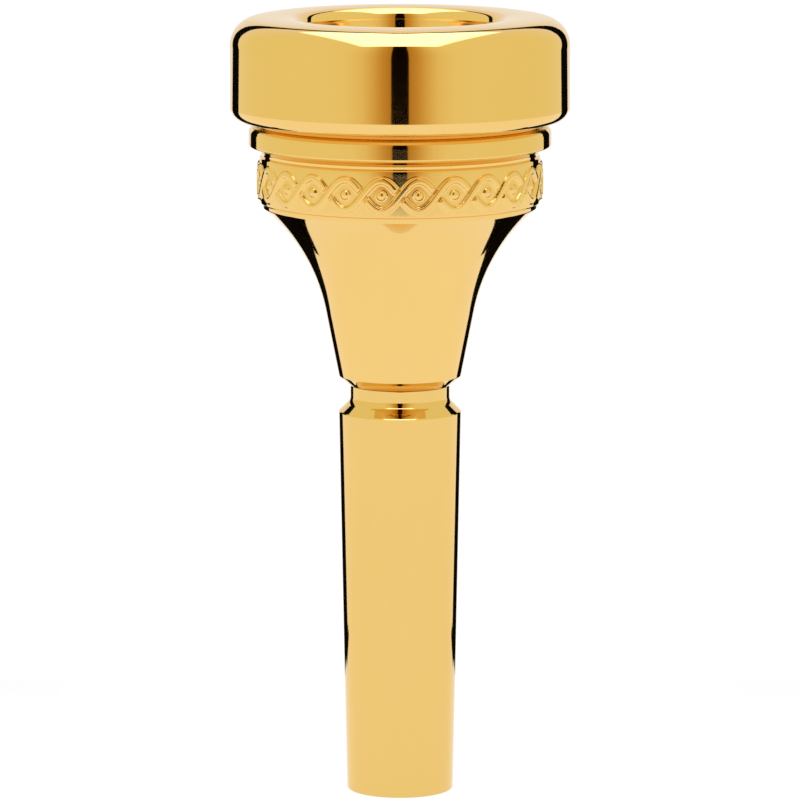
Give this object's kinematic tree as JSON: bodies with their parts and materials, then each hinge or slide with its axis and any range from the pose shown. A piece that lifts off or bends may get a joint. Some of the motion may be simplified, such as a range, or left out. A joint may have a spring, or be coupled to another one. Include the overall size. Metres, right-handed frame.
{
  "type": "brass instrument mouthpiece",
  "caption": "Gold-plated brass mouthpiece for an alto horn: a rounded screw rim, a flared cup with a patterned band, and a slim tapered screw shank.",
  "frame": {"origin": "centre of the shank's open end face", "axes": "+Z along the mouthpiece's axis, from the shank's end to the rim; the part is round, and the band's pattern repeats from +X"},
  "size_m": [0.0295, 0.0294, 0.0682],
  "materials": {
    "gold_plate": "mirror-polished gold plate",
    "seal_rubber": "satin"
  },
  "bodies": {
    "cup": {"cup": "gold_plate"},
    "rim_seal": {"rim_seal": "seal_rubber"},
    "rim": {"rim": "gold_plate"},
    "shank_seal": {"shank_seal": "seal_rubber"},
    "shank": {"shank": "gold_plate"}
  },
  "joints": [
    {"name": "rim_lift", "type": "slide", "parent": "cup", "child": "rim_seal", "axis": [0, 0, 1], "range_m": [0, 0.0025]},
    {"name": "rim_turn", "type": "hinge", "parent": "rim_seal", "child": "rim", "pos_m": [0, 0, 0.05915], "axis": [0, 0, 1], "range_deg": [0, 900]},
    {"name": "shank_drop", "type": "slide", "parent": "cup", "child": "shank_seal", "axis": [0, 0, -1], "range_m": [0, 0.00263]},
    {"name": "shank_turn", "type": "hinge", "parent": "shank_seal", "child": "shank", "pos_m": [0, 0, 0.036], "axis": [0, 0, -1], "range_deg": [0, 1260]}
  ],
  "couplings": [
    {"joint": "rim_lift", "follows": "rim_turn", "m_per_rad": 0.00015915},
    {"joint": "shank_drop", "follows": "shank_turn", "m_per_rad": 0.00011937}
  ]
}
